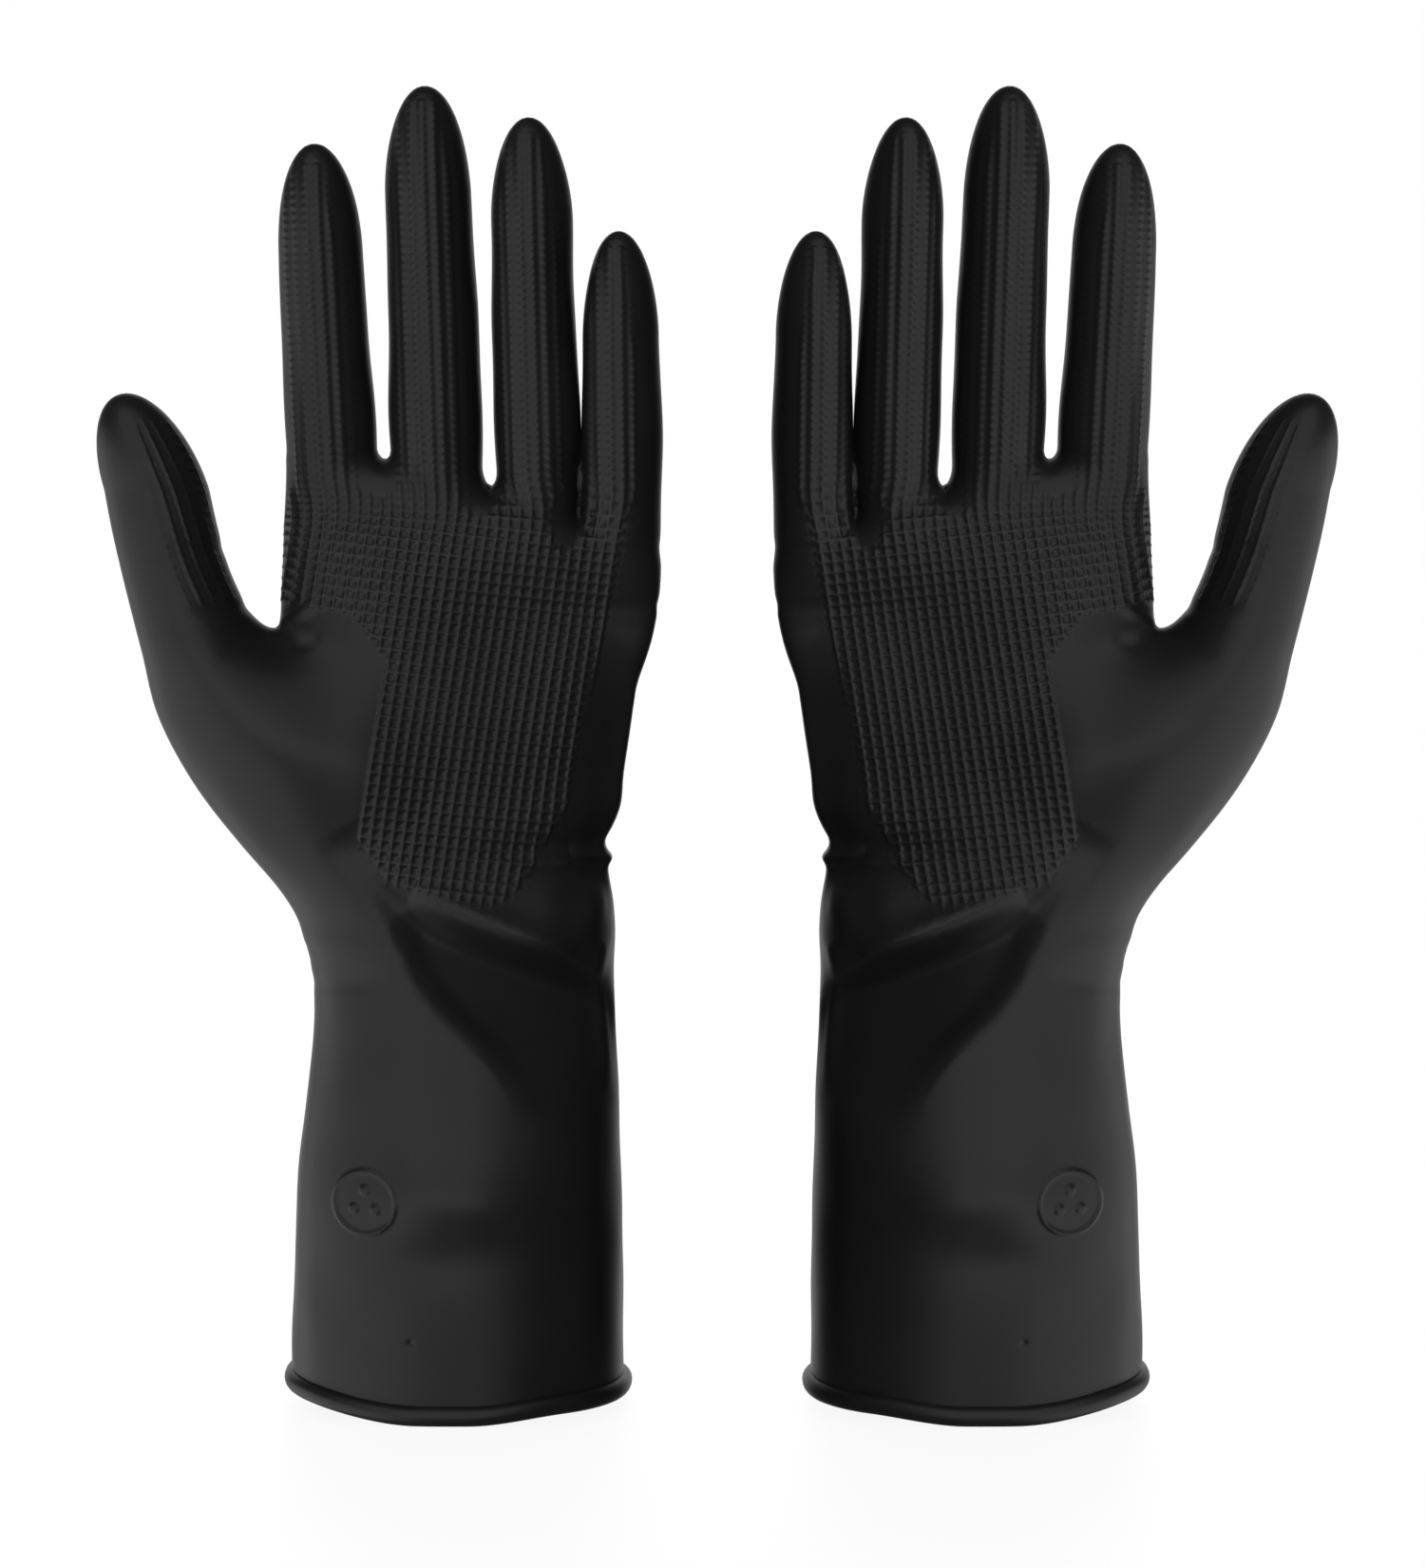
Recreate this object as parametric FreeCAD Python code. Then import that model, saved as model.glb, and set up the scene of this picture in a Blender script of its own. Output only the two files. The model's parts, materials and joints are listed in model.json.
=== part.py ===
import FreeCAD, Part
import math
import os

# A pair of heavy-duty rubber gloves standing upright on their cuffs, palms towards -Y and
# thumbs outward. Each glove is one dip-moulded film that ends in a rolled bead. The film is
# divided where it bends: firm zones turn on hinges, and a crease band of the same film fills
# the space between two zones. The left glove is made first and mirrored in the plane X = 0.

Vector = FreeCAD.Vector
X_AXIS = Vector(1, 0, 0)
UP = Vector(0, 0, 1)
PALMWARD = Vector(0, -1, 0)

# Film and cuff, mm
WALL = 1.0
CUFF_PITCH = 122.0
BEAD_RADIUS = 2.6
BEAD_HEIGHT = 2.2
CUFF_FOOT = 4.0
OVAL_POINTS = 24
HAND_SQUARENESS = 2.3
FINGER_SQUARENESS = 2.0

# Ovals of the sleeve, palm and back, from the bead up: height, left, right, front, back
HAND_OVALS = [
    (CUFF_FOOT, -38.2, 38.2, -31.5, 31.5),
    (30.0, -37.7, 38.3, -31.0, 31.0),
    (52.0, -37.0, 38.3, -30.3, 30.3),
    (70.0, -35.1, 37.7, -29.0, 29.0),
    (88.0, -32.8, 36.9, -27.5, 27.5),
    (104.0, -32.4, 36.4, -26.3, 26.0),
    (118.0, -34.5, 36.2, -25.5, 24.5),
    (131.0, -36.5, 35.2, -24.5, 23.0),
    (144.0, -38.5, 38.2, -24.0, 21.5),
    (160.0, -41.0, 41.0, -22.5, 20.0),
    (178.0, -42.0, 44.0, -20.0, 18.0),
    (194.0, -41.0, 46.0, -17.0, 16.0),
    (206.0, -40.0, 47.4, -14.5, 14.0),
    (213.0, -38.0, 46.6, -11.5, 11.5),
]

# Ovals of the thumb root, from inside the wrist to the straight part of the thumb
THUMB_OVALS = [
    (108.0, -29.0, -2.0, -15.0, 12.0),
    (118.0, -38.5, -2.0, -18.5, 14.0),
    (131.0, -50.0, -8.0, -21.0, 14.5),
    (148.0, -62.0, -16.0, -23.0, 13.0),
    (162.0, -69.2, -28.0, -24.0, 11.0),
    (176.0, -73.0, -39.5, -23.5, 7.0),
    (184.0, -75.2, -45.6, -22.5, 4.5),
    (194.0, -77.9, -52.0, -22.0, 2.5),
    (206.0, -80.7, -56.3, -22.0, 1.0),
]
THUMB_DOME = 22.0
THUMB_TIP = Vector(-76.8, -12.5, 236.0)
THUMB_STRAIGHT = Vector(-70.2, -11.0, 214.0)
THUMB_HALF_WIDTH = 12.0
THUMB_HALF_DEPTH = 11.0

# Fingers: centre and half width at the root, the same at the tip's dome, top of the tip
FINGERS = {
    "index_finger":
        {"root_x": -28.7, "root_half": 10.7, "tip_x": -32.8, "tip_half": 9.5, "top": 294.0},
    "middle_finger":
        {"root_x": -5.1, "root_half": 11.1, "tip_x": -7.3, "tip_half": 10.0, "top": 307.0},
    "ring_finger":
        {"root_x": 17.6, "root_half": 9.9, "tip_x": 17.1, "tip_half": 9.5, "top": 300.0},
    "little_finger":
        {"root_x": 38.4, "root_half": 10.1, "tip_x": 38.2, "tip_half": 8.9, "top": 274.0},
}
FINGER_START = 196.0
START_SHARE = 0.72
FINGER_DEPTH = 0.94
FINGER_DOME = 25.0
FINGER_CURL = 6.0
DOME_STEPS = (0.35, 0.6, 0.8, 0.92, 0.985)

# The film of the hand is divided into its palm side and its back at this depth
PALM_LIMIT = -2.0

# Bends: where each hinge lies, and the half angle that its crease leaves free on each side
WRIST_BAND = (97.0, 129.0)
ROOT_HINGE = 225.0
MID_SHARE = 0.36
TIP_SHARE = 0.66
SLIT = 0.5
ROOT_CREASE = {"front": 36.0, "back": 6.0}
MID_CREASE = {"front": 39.0, "back": 0.0}
TIP_CREASE = {"front": 20.0, "back": 0.0}
FINGER_REACH = 13.0
FINGER_CLEAR = 0.4
THUMB_ROOT_HINGE = 191.0
THUMB_TIP_HINGE = 212.0
THUMB_PALMWARD = Vector(0.6, -0.8, 0.0)
THUMB_ROOT_CREASE = {"front": 17.0, "back": 7.0}
THUMB_TIP_CREASE = {"front": 29.0, "back": 0.0}
THUMB_REACH = 15.0


def oval(row, squareness, inset):
    """A closed smooth wire at one height, drawn in by inset from its four sides."""
    height, left, right, front, back = row
    half_x = (right - left) / 2 - inset
    half_y = (back - front) / 2 - inset
    points = []
    for k in range(OVAL_POINTS):
        turn = 2 * math.pi * k / OVAL_POINTS
        across = math.copysign(abs(math.cos(turn)) ** (2 / squareness), math.cos(turn))
        deep = math.copysign(abs(math.sin(turn)) ** (2 / squareness), math.sin(turn))
        x = (left + right) / 2 + half_x * across
        y = (front + back) / 2 + half_y * deep
        points.append(Vector(x, y, height))
    curve = Part.BSplineCurve()
    curve.interpolate(Points=points, PeriodicFlag=True)
    return Part.Wire(curve.toShape())


def solid_through(rows, squareness, inset=0.0):
    return Part.makeLoft([oval(row, squareness, inset) for row in rows], True, False)


def oval_row(height, centre_x, centre_y, half_x, half_y):
    return (height, centre_x - half_x, centre_x + half_x, centre_y - half_y, centre_y + half_y)


def dome_rows(base, tip, half_x, half_y, inset):
    """Rows of a rounded fingertip, from its base centre up to just under its tip."""
    rows = []
    for step in DOME_STEPS:
        shrink = math.sqrt(1 - step * step)
        centre = base + (tip - base) * step
        height = base.z + (tip.z - inset - base.z) * step
        rows.append(oval_row(height, centre.x, centre.y, half_x * shrink, half_y * shrink))
    return rows


def finger_centre(finger, height):
    """Centre of a finger at a height. It leans a little and curls towards the palm."""
    share = (height - FINGER_START) / (finger["top"] - FINGER_START)
    x = finger["root_x"] + (finger["tip_x"] - finger["root_x"]) * share
    return Vector(x, -FINGER_CURL * share * share, height)


def finger_half(finger, height):
    share = (height - FINGER_START) / (finger["top"] - FINGER_DOME - FINGER_START)
    return finger["root_half"] + (finger["tip_half"] - finger["root_half"]) * share


def finger_solid(finger, inset):
    """One finger from inside the palm to its tip, drawn in by inset all round."""
    dome_start = finger["top"] - FINGER_DOME
    start_half = START_SHARE * finger["root_half"] - inset
    rows = [oval_row(FINGER_START, finger["root_x"], 0, start_half, start_half * FINGER_DEPTH)]
    for height in (ROOT_HINGE, (ROOT_HINGE + dome_start) / 2, dome_start):
        centre = finger_centre(finger, height)
        half = finger_half(finger, height) - inset
        rows.append(oval_row(height, centre.x, centre.y, half, half * FINGER_DEPTH))
    base = finger_centre(finger, dome_start)
    tip = finger_centre(finger, finger["top"])
    half = finger["tip_half"] - inset
    rows += dome_rows(base, tip, half, half * FINGER_DEPTH, inset)
    return solid_through(rows, FINGER_SQUARENESS)


def thumb_solid(inset):
    rows = [(row[0], row[1] + inset, row[2] - inset, row[3] + inset, row[4] - inset)
            for row in THUMB_OVALS]
    half_x = THUMB_HALF_WIDTH - inset
    half_y = THUMB_HALF_DEPTH - inset
    start = THUMB_STRAIGHT
    rows.append(oval_row(start.z, start.x, start.y, half_x, half_y))
    rows += dome_rows(start, THUMB_TIP, half_x, half_y, inset)
    return solid_through(rows, FINGER_SQUARENESS)


def hand_solid(inset):
    """Sleeve, palm and back. The inner form runs out below the cuff, so the cuff is open."""
    rows = list(HAND_OVALS)
    if inset:
        foot = rows[0]
        knuckles = rows[-1]
        rows[0] = (foot[0] - WALL,) + foot[1:]
        rows[-1] = (knuckles[0] - WALL,) + knuckles[1:]
    return solid_through(rows, HAND_SQUARENESS, inset)


def glove_form(inset):
    """The whole glove as one closed form, drawn in by inset."""
    limbs = [finger_solid(finger, inset) for finger in FINGERS.values()]
    limbs.append(thumb_solid(inset))
    return hand_solid(inset).fuse(limbs)


def bead():
    """The rolled rim: a round cord of rubber on the film's middle line, flat underneath."""
    path = oval((BEAD_HEIGHT,) + HAND_OVALS[0][1:], HAND_SQUARENESS, WALL / 2)
    start = path.Edges[0].valueAt(path.Edges[0].FirstParameter)
    along = path.Edges[0].tangentAt(path.Edges[0].FirstParameter)
    circle = Part.Wire(Part.makeCircle(BEAD_RADIUS, start, along))
    roll = path.makePipeShell([circle], True, True)
    side = 4 * CUFF_PITCH
    ground = Part.makeBox(side, side, side, Vector(-side / 2, -side / 2, -side))
    return roll.cut(ground)


def make_crease(name, point, along, palmward, half_width, reach, opening):
    """One bend: its hinge point and directions, and the solid space that its crease fills."""
    across = along.cross(palmward).normalize()
    forward = across.cross(along).normalize()
    lip = SLIT / 2
    front_lip = lip + reach * math.tan(math.radians(opening["front"]))
    back_lip = lip + reach * math.tan(math.radians(opening["back"]))
    outline = [(0, lip), (reach, front_lip), (reach, -front_lip), (0, -lip),
               (-reach, -back_lip), (-reach, back_lip)]
    corner = point - across * half_width
    points = [corner + forward * ahead + along * high for ahead, high in outline]
    face = Part.Face(Part.makePolygon(points + points[:1]))
    space = face.extrude(across * (2 * half_width))
    return {"name": name, "point": point, "space": space}


def finger_creases(name, finger):
    """The three bends of a finger: at its root, at its middle knuckle and near its tip."""
    length = finger["top"] - ROOT_HINGE
    bends = (("root", ROOT_HINGE, ROOT_CREASE),
             ("mid", ROOT_HINGE + MID_SHARE * length, MID_CREASE),
             ("tip", ROOT_HINGE + TIP_SHARE * length, TIP_CREASE))
    creases = []
    for level, height, opening in bends:
        half_width = finger_half(finger, height) + FINGER_CLEAR
        creases.append(make_crease(name + "_" + level, finger_centre(finger, height), UP,
                                   PALMWARD, half_width, FINGER_REACH, opening))
    return creases


def thumb_creases():
    """The two bends of the thumb, square to its leaning centre line."""
    along = (THUMB_TIP - THUMB_STRAIGHT).normalize()
    creases = []
    bends = (("thumb_root", THUMB_ROOT_HINGE, THUMB_ROOT_CREASE),
             ("thumb_tip", THUMB_TIP_HINGE, THUMB_TIP_CREASE))
    for name, height, opening in bends:
        point = THUMB_STRAIGHT + along * ((height - THUMB_STRAIGHT.z) / along.z)
        creases.append(make_crease(name, point, along, THUMB_PALMWARD, THUMB_REACH,
                                   THUMB_REACH, opening))
    return creases


def wrist_crease():
    low, high = WRIST_BAND
    side = 2 * CUFF_PITCH
    space = Part.makeBox(side, side, high - low, Vector(-side / 2, -side / 2, low))
    point = Vector(0, 0, (low + high) / 2)
    return {"name": "wrist", "point": point, "space": space}


def all_creases():
    creases = [wrist_crease()]
    for name, finger in FINGERS.items():
        creases += finger_creases(name, finger)
    return creases + thumb_creases()


def zone_marks():
    """A point near the middle of each firm zone of the film, by the zone's name."""
    marks = {"cuff_sleeve": Vector(0, 0, 50), "hand_shell": Vector(0, 0, 170)}
    root, tip = thumb_creases()
    marks["thumb_base"] = (root["point"] + tip["point"]) * 0.5
    marks["thumb_tip"] = (tip["point"] + THUMB_TIP) * 0.5
    for name, finger in FINGERS.items():
        stops = [crease["point"] for crease in finger_creases(name, finger)]
        stops.append(finger_centre(finger, finger["top"]))
        for zone, low, high in zip(("base", "mid", "tip"), stops, stops[1:]):
            marks[name + "_" + zone] = (low + high) * 0.5
    return marks


def nearest_zone(solid, marks):
    centre = solid.CenterOfMass
    return min(marks, key=lambda name: (marks[name] - centre).Length)


def palm_and_back(shell):
    """The palm side and the back of the hand's film."""
    side = 4 * CUFF_PITCH
    palm_space = Part.makeBox(side, side, side, Vector(-side / 2, PALM_LIMIT - side, 0))
    return shell.common(palm_space), shell.cut(palm_space)


def left_glove():
    """Every node of the left glove, with its cuff centred on the Z axis."""
    film = glove_form(0.0).cut(glove_form(WALL))
    creases = all_creases()
    rim = bead()
    nodes = {"cuff_bead": rim}
    marks = zone_marks()
    for solid in film.cut([crease["space"] for crease in creases]).Solids:
        nodes[nearest_zone(solid, marks)] = solid
    nodes["cuff_sleeve"] = nodes["cuff_sleeve"].cut(rim)
    nodes["hand_palm"], nodes["hand_back"] = palm_and_back(nodes.pop("hand_shell"))
    roots = []
    for crease in creases:
        band = film.common(crease["space"])
        if crease["name"].endswith("_root"):
            roots += band.Solids
        else:
            nodes[crease["name"] + "_crease"] = band
    nodes["root_creases"] = Part.makeCompound(roots)
    return nodes


def main():
    os.makedirs("parts", exist_ok=True)
    for name, shape in left_glove().items():
        left = shape.translated(Vector(-CUFF_PITCH / 2, 0, 0))
        left.exportStep("parts/left_" + name + ".step")
        left.mirror(Vector(0, 0, 0), X_AXIS).exportStep("parts/right_" + name + ".step")


main()
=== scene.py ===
import json
import math

import bmesh
import bpy
import numpy as np
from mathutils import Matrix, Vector

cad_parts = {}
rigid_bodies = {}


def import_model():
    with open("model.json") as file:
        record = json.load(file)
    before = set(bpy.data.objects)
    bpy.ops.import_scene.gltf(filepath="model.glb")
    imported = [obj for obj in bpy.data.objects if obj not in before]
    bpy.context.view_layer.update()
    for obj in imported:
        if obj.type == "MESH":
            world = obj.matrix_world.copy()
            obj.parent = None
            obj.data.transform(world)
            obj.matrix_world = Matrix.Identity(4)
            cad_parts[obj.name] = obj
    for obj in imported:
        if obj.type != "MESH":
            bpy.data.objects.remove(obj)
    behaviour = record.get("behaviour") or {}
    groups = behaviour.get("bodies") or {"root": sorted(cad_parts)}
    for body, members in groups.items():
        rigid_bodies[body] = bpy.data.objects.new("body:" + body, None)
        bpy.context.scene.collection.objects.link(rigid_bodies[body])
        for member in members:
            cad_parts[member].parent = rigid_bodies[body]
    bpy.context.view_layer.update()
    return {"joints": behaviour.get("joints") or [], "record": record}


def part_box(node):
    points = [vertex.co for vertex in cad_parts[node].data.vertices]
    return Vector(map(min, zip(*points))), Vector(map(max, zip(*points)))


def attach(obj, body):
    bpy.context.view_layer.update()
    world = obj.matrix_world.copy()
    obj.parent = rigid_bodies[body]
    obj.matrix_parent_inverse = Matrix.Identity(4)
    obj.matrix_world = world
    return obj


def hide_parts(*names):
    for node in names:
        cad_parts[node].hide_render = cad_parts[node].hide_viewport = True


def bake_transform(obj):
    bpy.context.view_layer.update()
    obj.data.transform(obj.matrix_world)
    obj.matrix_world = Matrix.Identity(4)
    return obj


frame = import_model()

# Two moulded rubber gloves. The left glove is shaped as one smooth skin, in millimetres about the
# middle of its cuff, and mirrored for the right one. Each skin is then split where the zones of
# the frame are firm.

MM = 0.001
bead_low, bead_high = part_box("left_cuff_bead")
CUFF_X = (bead_low[0] + bead_high[0]) / 2 / MM
BODY_NODES = frame["record"]["behaviour"]["bodies"]

# ---------------------------------------------------------------- the form of one glove

GRID = 1.15
LINING_GRID = 2.2
GRID_LOW = np.array([-90.0, -38.0, 1.4])
GRID_HIGH = np.array([56.0, 38.0, 312.0])
WALL = 1.0

# Ovals of sleeve and hand: height, left, right, front, back
HAND_OVALS = np.array([
    (-6.0, -39.0, 39.0, -31.7, 31.7),
    (12.0, -38.8, 38.8, -31.4, 31.4),
    (30.0, -38.3, 38.8, -31.0, 31.0),
    (52.0, -37.5, 38.6, -30.3, 30.3),
    (70.0, -35.6, 38.1, -29.0, 29.0),
    (88.0, -33.3, 37.2, -27.5, 27.5),
    (104.0, -32.9, 36.7, -26.3, 26.0),
    (118.0, -34.8, 36.0, -25.5, 24.5),
    (131.0, -36.5, 35.4, -24.5, 23.0),
    (144.0, -38.0, 38.4, -23.5, 21.5),
    (160.0, -40.0, 41.0, -22.0, 20.0),
    (178.0, -40.3, 43.4, -18.6, 17.5),
    (194.0, -38.5, 43.6, -14.6, 14.2),
    (206.0, -35.8, 44.2, -11.4, 11.4),
])
HAND_SQUARENESS = 2.3
HAND_CAP = 9.0
TOP_SLANT = 0.31
SLANT_HEIGHTS = (165.0, 210.0)

# Ovals of the thumb from inside the wrist, in the same order
THUMB_OVALS = np.array([
    (108.0, -29.0, -2.0, -15.0, 12.0),
    (118.0, -38.0, -2.0, -18.5, 14.0),
    (131.0, -49.6, -8.0, -21.0, 14.5),
    (148.0, -61.8, -16.0, -23.0, 13.0),
    (162.0, -68.5, -28.0, -24.0, 11.0),
    (176.0, -71.7, -40.8, -23.5, 7.0),
    (184.0, -73.6, -46.0, -22.5, 4.5),
    (194.0, -75.9, -50.8, -22.0, 2.5),
    (206.0, -78.4, -54.0, -22.0, 1.0),
    (214.0, -79.8, -55.7, -21.8, 0.1),
])
THUMB_CAP = 22.0
THUMB_LEAN = (-0.3, -0.07)

# Fingers: centre and half width at the root, the same where the tip starts to close, and the
# grip: its first and last side, its top, and where its middle ridge runs, from the centre line.
# The little finger also bows outwards, and starts out of the hand at nearly its full width.
FINGERS = {
    "index_finger": {"root_x": -27.3, "root_half": 11.2, "tip_x": -31.4, "tip_half": 9.7,
                     "grip_sides": (-8.6, 5.6), "grip_top": 289.0, "ridge": 0.6},
    "middle_finger": {"root_x": -3.2, "root_half": 11.2, "tip_x": -6.0, "tip_half": 9.9,
                      "grip_sides": (-8.8, 7.2), "grip_top": 303.0, "ridge": -0.6},
    "ring_finger": {"root_x": 19.9, "root_half": 10.4, "tip_x": 17.8, "tip_half": 9.4,
                    "grip_sides": (-8.0, 6.4), "grip_top": 295.0, "ridge": 0.35},
    "little_finger": {"root_x": 38.25, "root_half": 10.1, "tip_x": 37.5, "tip_half": 8.9,
                      "bow": 1.1, "start": 0.94,
                      "grip_sides": (-8.6, 5.0), "grip_top": 270.0, "ridge": -1.35},
}
FINGER_START = 196.0
FINGER_ROOT = 225.0
FINGER_CAP = 25.0
FINGER_DEPTH = 0.94
FINGER_CURL = 6.0
START_SHARE = 0.76
TIP_SKIN = -0.5
WEB_BLEND = 6.0
THUMB_BLEND = 9.0
THUMB_WEB = 19.0         # how much wider the thumb's web is blended, on its palm side
WEB_RISE = (130, 160)
WEB_END = (170, 192)
WEB_DEPTH = (2, 14)
SLANT_CENTRE = 3.0


def soft_step(low, high, value):
    t = np.clip((value - low) / (high - low), 0, 1)
    return t * t * (3 - 2 * t)


def smooth_columns(heights, rows):
    """The columns of a table after its first, at each height, on smooth curves."""
    knots, values = rows[:, 0], rows[:, 1:]
    slopes = np.gradient(values, knots, axis=0)
    heights = np.clip(heights, knots[0], knots[-1])
    i = np.clip(np.searchsorted(knots, heights) - 1, 0, len(knots) - 2)
    span = (knots[i + 1] - knots[i])[..., None]
    t = (heights - knots[i])[..., None] / span
    sides = ((2 * t**3 - 3 * t**2 + 1) * values[i] + (t**3 - 2 * t**2 + t) * span * slopes[i]
             + (3 * t**2 - 2 * t**3) * values[i + 1] + (t**3 - t**2) * span * slopes[i + 1])
    return np.moveaxis(sides, -1, 0)


def limb_distance(place, rows, squareness, cap, lean=(0.0, 0.0)):
    """Signed distance, about, to a stack of ovals that ends in a rounded, leaning cap."""
    x, y, z = place
    left, right, front, back = smooth_columns(z, rows)
    past = np.maximum(z - rows[-1, 0], 0)
    below = np.maximum(rows[0, 0] - z, 0)
    x = x - (left + right) / 2 - lean[0] * past
    y = y - (front + back) / 2 - lean[1] * past
    rise = (past + below) / cap
    reach = (np.abs(x / ((right - left) / 2)) ** squareness
             + np.abs(y / ((back - front) / 2)) ** squareness + rise ** squareness)
    reach = np.maximum(reach, 1e-4) ** (1 / squareness)
    radius = np.sqrt(x * x + y * y + (past + below) ** 2)
    return radius * (1 - 1 / reach)


def smooth_union(a, b, width):
    share = np.clip(0.5 + 0.5 * (b - a) / width, 0, 1)
    return b + (a - b) * share - width * share * (1 - share)


def finger_top(name):
    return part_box("left_" + name + "_tip")[1][2] / MM + TIP_SKIN


def finger_rows(name):
    """Ovals of one finger. It leans a little, and curls towards the palm as it rises."""
    finger = FINGERS[name]
    top = finger_top(name)
    close = top - FINGER_CAP
    rows = []
    for height in (FINGER_START, FINGER_ROOT, (FINGER_ROOT + close) / 2, close):
        share = (height - FINGER_START) / (top - FINGER_START)
        x = (finger["root_x"] + (finger["tip_x"] - finger["root_x"]) * share
             + finger.get("bow", 0.0) * math.sin(math.pi * share))
        y = -FINGER_CURL * share * share
        grown = (height - FINGER_START) / (close - FINGER_START)
        half = finger["root_half"] + (finger["tip_half"] - finger["root_half"]) * grown
        if height == FINGER_START:
            half *= finger.get("start", START_SHARE)
        deep = half * FINGER_DEPTH
        rows.append((height, x - half, x + half, y - deep, y + deep))
    length = top - FINGER_START
    lean = ((finger["tip_x"] - finger["root_x"]) / length, -2 * FINGER_CURL * share / length)
    return np.array(rows), lean


FINGER_ROWS = {name: finger_rows(name) for name in FINGERS}


def glove_field(place):
    """Signed distance, about, to the whole glove: inside is below zero."""
    x, y, z = place
    slanted = (x, y, z + TOP_SLANT * (x - SLANT_CENTRE) * soft_step(*SLANT_HEIGHTS, z))
    hand = limb_distance(slanted, HAND_OVALS, HAND_SQUARENESS, HAND_CAP)
    thumb = limb_distance(place, THUMB_OVALS, 2.0, THUMB_CAP, THUMB_LEAN)
    web = (THUMB_WEB * soft_step(*WEB_RISE, z) * (1 - soft_step(*WEB_END, z))
           * soft_step(*WEB_DEPTH, -y))
    field = smooth_union(hand, thumb, THUMB_BLEND + web)
    for rows, lean in FINGER_ROWS.values():
        finger = limb_distance(place, rows, 2.0, FINGER_CAP, lean)
        field = np.minimum(field, smooth_union(hand, finger, WEB_BLEND))
    return field


def slope_at(points, probe=0.05):
    """The field's gradient at each point."""
    columns = []
    for axis in range(3):
        step = np.zeros(3)
        step[axis] = probe
        columns.append(glove_field((points + step).T) - glove_field((points - step).T))
    return np.stack(columns, axis=1) / (2 * probe)


def onto_skin(points, level=0.0, rounds=2):
    """Points moved square onto a level of the field, and the skin's outward directions there."""
    for _ in range(rounds):
        slope = slope_at(points)
        excess = (glove_field(points.T) - level)[:, None]
        points = points - np.clip(excess / (slope ** 2).sum(axis=1)[:, None], -1, 1) * slope
    slope = slope_at(points)
    return points, slope / np.linalg.norm(slope, axis=1)[:, None]


# ---------------------------------------------------------------- from field to skin

CORNERS = np.array([(i, j, k) for i in (0, 1) for j in (0, 1) for k in (0, 1)])
CELL_EDGES = [(a, b) for a in range(8) for b in range(a + 1, 8)
              if abs(CORNERS[a] - CORNERS[b]).sum() == 1]


def surface_net(field, low, step):
    """Points and quads on the zero level of a field, one point to a cell that it crosses."""
    inside = field < 0
    cells = sum(inside[i:inside.shape[0] - 1 + i, j:inside.shape[1] - 1 + j,
                       k:inside.shape[2] - 1 + k].astype(np.int8) for i, j, k in CORNERS)
    where = np.argwhere((cells > 0) & (cells < 8))
    values = np.stack([field[tuple((where + corner).T)] for corner in CORNERS], axis=1)
    total = np.zeros(where.shape)
    count = np.zeros(len(where))
    for a, b in CELL_EDGES:
        crossed = (values[:, a] < 0) != (values[:, b] < 0)
        gap = np.where(crossed, values[:, a] - values[:, b], 1.0)
        t = np.where(crossed, values[:, a] / gap, 0.0)
        total += np.where(crossed[:, None], CORNERS[a] + t[:, None] * (CORNERS[b] - CORNERS[a]), 0)
        count += crossed
    points = low + step * (where + total / count[:, None])
    number = np.full(cells.shape, -1)
    number[tuple(where.T)] = np.arange(len(where))
    quads = []
    for axis in range(3):
        first = np.take(inside, range(inside.shape[axis] - 1), axis)
        second = np.take(inside, range(1, inside.shape[axis]), axis)
        edge = np.argwhere(first != second)
        side_a, side_b = (axis + 1) % 3, (axis + 2) % 3
        fits = ((edge[:, side_a] > 0) & (edge[:, side_b] > 0)
                & (edge[:, side_a] < cells.shape[side_a]) & (edge[:, side_b] < cells.shape[side_b]))
        edge = edge[fits]
        outward = first[tuple(edge.T)]
        ring = []
        for a, b in ((-1, -1), (0, -1), (0, 0), (-1, 0)):
            cell = edge.copy()
            cell[:, side_a] += a
            cell[:, side_b] += b
            ring.append(number[tuple(cell.T)])
        ring = np.stack(ring, axis=1)
        quads.append(np.where(outward[:, None], ring, ring[:, ::-1]))
    return points, np.concatenate(quads)


def relax(points, quads, rounds, pull, push):
    """Evens out a skin. Each round pulls points to their neighbours' middle and pushes back."""
    pairs = np.sort(np.concatenate([quads[:, [i, (i + 1) % 4]] for i in range(4)]), axis=1)
    edges, uses = np.unique(pairs, axis=0, return_counts=True)
    fixed = np.zeros(len(points), bool)
    fixed[edges[uses == 1].ravel()] = True
    degree = np.bincount(edges.ravel(), minlength=len(points)).astype(float)[:, None]
    for _ in range(rounds):
        for strength in (pull, -push):
            middle = np.zeros_like(points)
            for axis in range(3):
                middle[:, axis] = (
                    np.bincount(edges[:, 0], points[edges[:, 1], axis], len(points))
                    + np.bincount(edges[:, 1], points[edges[:, 0], axis], len(points)))
            moved = points + strength * (middle / degree - points)
            points = np.where(fixed[:, None], points, moved)
    return points


def vertex_normals(points, faces):
    """Area-weighted normals of a triangle skin."""
    a, b, c = (points[faces[:, i]] for i in range(3))
    across = np.cross(b - a, c - a)
    total = np.zeros_like(points)
    for corner in range(3):
        for axis in range(3):
            total[:, axis] += np.bincount(faces[:, corner], across[:, axis], len(points))
    return total / np.maximum(np.linalg.norm(total, axis=1), 1e-12)[:, None]


def triangles(quads):
    return np.concatenate([quads[:, [0, 1, 2]], quads[:, [0, 2, 3]]])


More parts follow.
